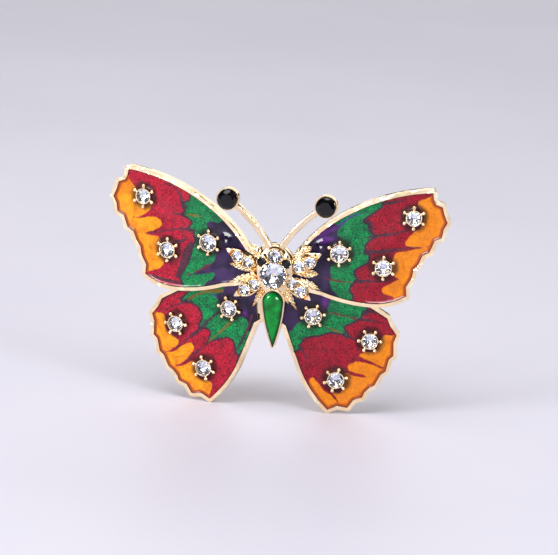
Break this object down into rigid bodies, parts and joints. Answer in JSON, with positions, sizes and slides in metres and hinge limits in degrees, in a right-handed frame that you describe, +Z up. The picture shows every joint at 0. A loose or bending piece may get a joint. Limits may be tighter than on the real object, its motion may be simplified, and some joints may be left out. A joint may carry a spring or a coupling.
{
  "type": "butterfly brooch",
  "caption": "Butterfly brooch: gold-plated cast frame with enamelled wings, claw-set stones, a jewelled flower, antennae and a hinged pin with a turning safety catch.",
  "frame": {"origin": "the middle of the pin stem's plain length, on its axis, behind the wings", "axes": "X along the pin stem and across the wings, towards the catch; the brooch's front faces -Y; +Z up as the brooch is worn"},
  "size_m": [0.0528, 0.0111, 0.0358],
  "materials": {
    "gold_plate": "polished pale gold plate on a zinc-alloy casting",
    "pin_metal": "bright plated pin fittings",
    "wing_enamel": "glossy glitter enamel, marbled purple, green, crimson and orange",
    "green_enamel": "glossy translucent green enamel",
    "crystal_stone": "clear cut crystal with a silvered back",
    "jet_stone": "polished black cut glass"
  },
  "bodies": {
    "root": {"antenna_cup_left": "gold_plate", "antenna_cup_right": "gold_plate", "antenna_rod_left": "gold_plate", "antenna_rod_right": "gold_plate", "antenna_stone_left": "jet_stone", "antenna_stone_right": "jet_stone", "body_cup": "gold_plate", "body_enamel": "green_enamel", "catch_body": "pin_metal", "centre_flower": "gold_plate", "centre_stone": "crystal_stone", "claw_setting_lower_inner_left": "gold_plate", "claw_setting_lower_inner_right": "gold_plate", "claw_setting_lower_middle_left": "gold_plate", "claw_setting_lower_middle_right": "gold_plate", "claw_setting_lower_outer_left": "gold_plate", "claw_setting_lower_outer_right": "gold_plate", "claw_setting_upper_inner_left": "gold_plate", "claw_setting_upper_inner_right": "gold_plate", "claw_setting_upper_middle_left": "gold_plate", "claw_setting_upper_middle_right": "gold_plate", "claw_setting_upper_outer_left": "gold_plate", "claw_setting_upper_outer_right": "gold_plate", "eye_stone_left": "jet_stone", "eye_stone_right": "jet_stone", "head_stone": "crystal_stone", "hinge_base": "pin_metal", "hinge_rivet": "pin_metal", "leaf_stone_lower_inner_left": "crystal_stone", "leaf_stone_lower_inner_right": "crystal_stone", "leaf_stone_lower_outer_left": "crystal_stone", "leaf_stone_lower_outer_right": "crystal_stone", "leaf_stone_upper_inner_left": "crystal_stone", "leaf_stone_upper_inner_right": "crystal_stone", "leaf_stone_upper_outer_left": "crystal_stone", "leaf_stone_upper_outer_right": "crystal_stone", "lower_enamel_left": "wing_enamel", "lower_enamel_right": "wing_enamel", "upper_enamel_left": "wing_enamel", "upper_enamel_right": "wing_enamel", "wing_frame": "gold_plate", "wing_stone_lower_inner_left": "crystal_stone", "wing_stone_lower_inner_right": "crystal_stone", "wing_stone_lower_middle_left": "crystal_stone", "wing_stone_lower_middle_right": "crystal_stone", "wing_stone_lower_outer_left": "crystal_stone", "wing_stone_lower_outer_right": "crystal_stone", "wing_stone_upper_inner_left": "crystal_stone", "wing_stone_upper_inner_right": "crystal_stone", "wing_stone_upper_middle_left": "crystal_stone", "wing_stone_upper_middle_right": "crystal_stone", "wing_stone_upper_outer_left": "crystal_stone", "wing_stone_upper_outer_right": "crystal_stone"},
    "pin": {"pin_stem": "pin_metal"},
    "lock": {"catch_lock": "pin_metal"}
  },
  "joints": [
    {"name": "pin_hinge", "type": "hinge", "parent": "root", "child": "pin", "pos_m": [-0.0135, 0, 0], "axis": [0, 0, 1], "range_deg": [0, 95]},
    {"name": "lock_turn", "type": "hinge", "parent": "root", "child": "lock", "pos_m": [0.013, 0, 0], "axis": [1, 0, 0], "range_deg": [0, 110]}
  ]
}
